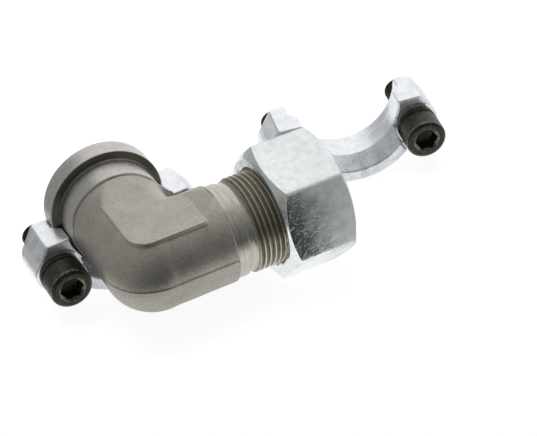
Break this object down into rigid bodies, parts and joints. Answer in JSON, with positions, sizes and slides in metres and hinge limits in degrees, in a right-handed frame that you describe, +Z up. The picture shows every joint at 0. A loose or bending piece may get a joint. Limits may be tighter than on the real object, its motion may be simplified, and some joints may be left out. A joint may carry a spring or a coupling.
{
  "type": "flange elbow",
  "caption": "Right-angle hydraulic flange elbow with a threaded, coned tube end, union nut, cutting ring, face seal and split clamp halves with socket screws.",
  "frame": {"origin": "centre of the flange's sealing face, on the flange bore's axis", "axes": "+Y out of the flange along its bore, +X to the side the tube arm leaves to, +Z up from the table; the tube arm leans down by about 3 degrees about Y, so that the nut rests on the table"},
  "size_m": [0.1741, 0.0925, 0.0517],
  "materials": {
    "phosphated_forging": "phosphated, oiled",
    "zinc_plate": "bright zinc plating over a forged skin",
    "plated_nut": "zinc plating, scratched",
    "cutting_ring_steel": "hardened, ground",
    "black_oxide": "black oxide, satin",
    "seal_rubber": "matt"
  },
  "bodies": {
    "fitting": {"elbow_body": "phosphated_forging", "face_seal_ring": "seal_rubber", "seated_clamp_half": "zinc_plate", "loose_clamp_half": "zinc_plate", "seated_screw_left": "black_oxide", "seated_screw_right": "black_oxide", "loose_screw_left": "black_oxide", "loose_screw_right": "black_oxide", "seated_washer_left": "black_oxide", "seated_washer_right": "black_oxide", "loose_washer_left": "black_oxide", "loose_washer_right": "black_oxide"},
    "ring": {"cutting_ring": "cutting_ring_steel"},
    "nut": {"union_nut": "plated_nut"}
  },
  "joints": [
    {"name": "ring_slide", "type": "slide", "parent": "fitting", "child": "ring", "axis": [0.9986, 0, -0.0533], "range_m": [0, 0.0041]},
    {"name": "nut_turn", "type": "hinge", "parent": "ring", "child": "nut", "pos_m": [0.05683, -0.04761, -0.00303], "axis": [0.9986, 0, -0.0533], "range_deg": [0, 720]}
  ],
  "couplings": [
    {"joint": "ring_slide", "follows": "nut_turn", "m_per_rad": 0.00031831}
  ]
}
